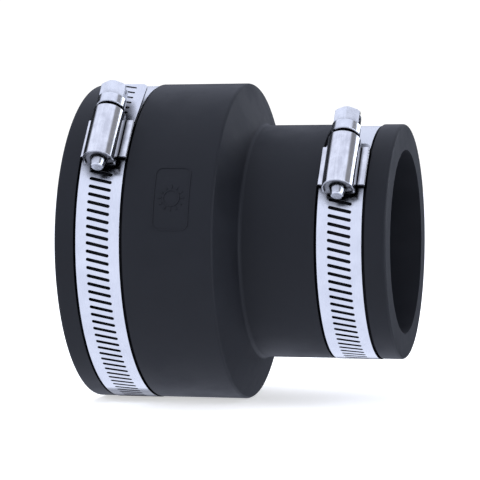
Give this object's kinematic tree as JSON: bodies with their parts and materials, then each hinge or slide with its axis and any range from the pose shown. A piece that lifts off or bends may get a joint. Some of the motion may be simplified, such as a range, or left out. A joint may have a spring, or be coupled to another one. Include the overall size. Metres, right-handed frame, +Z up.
{
  "type": "pipe coupling",
  "caption": "Flexible rubber reducing coupling that joins a larger drain pipe to a smaller one, its stepped sleeve clamped at each end by a worm-drive hose clamp.",
  "frame": {"origin": "centre of the large bore's mouth, on the pipe axis", "axes": "+X along the pipe axis to the small end, +Z up with the clamps' housings up and to the front, -Y towards the viewer"},
  "size_m": [0.1038, 0.1072, 0.1056],
  "materials": {
    "rubber": "moulded, dull sheen",
    "band_steel": "slit stainless strip, satin",
    "saddle_steel": "pressed stainless sheet, satin",
    "housing_steel": "pressed stainless sheet, bright",
    "screw_steel": "turned and rolled, bright"
  },
  "bodies": {
    "sleeve": {"sleeve": "rubber"},
    "large_clamp": {"large_saddle": "saddle_steel", "large_housing": "housing_steel", "large_band_anchor": "band_steel"},
    "large_screw": {"large_screw": "screw_steel"},
    "large_band": {"large_band": "band_steel"},
    "small_clamp": {"small_saddle": "saddle_steel", "small_housing": "housing_steel", "small_band_anchor": "band_steel"},
    "small_screw": {"small_screw": "screw_steel"},
    "small_band": {"small_band": "band_steel"}
  },
  "joints": [
    {"name": "large_clamp_turn", "type": "hinge", "parent": "sleeve", "child": "large_clamp", "pos_m": [0.01445, 0, 0], "axis": [1, 0, 0], "continuous": true},
    {"name": "large_screw_turn", "type": "hinge", "parent": "large_clamp", "child": "large_screw", "pos_m": [0.01445, -0.0449, 0.03446], "axis": [0, -0.6088, -0.7934], "range_deg": [-360, 1440]},
    {"name": "large_band_draw", "type": "hinge", "parent": "large_clamp", "child": "large_band", "pos_m": [0.01445, 0, 0], "axis": [-1, 0, 0], "range_deg": [-3.04, 11.57]},
    {"name": "small_clamp_turn", "type": "hinge", "parent": "sleeve", "child": "small_clamp", "pos_m": [0.08905, 0, 0], "axis": [1, 0, 0], "continuous": true},
    {"name": "small_screw_turn", "type": "hinge", "parent": "small_clamp", "child": "small_screw", "pos_m": [0.08905, -0.03428, 0.02537], "axis": [0, -0.5948, -0.8039], "range_deg": [-360, 1440]},
    {"name": "small_band_draw", "type": "hinge", "parent": "small_clamp", "child": "small_band", "pos_m": [0.08905, 0, 0], "axis": [-1, 0, 0], "range_deg": [-4.07, 15.7]}
  ],
  "couplings": [
    {"joint": "large_band_draw", "follows": "large_screw_turn", "ratio": 0.007897},
    {"joint": "small_band_draw", "follows": "small_screw_turn", "ratio": 0.010762}
  ]
}
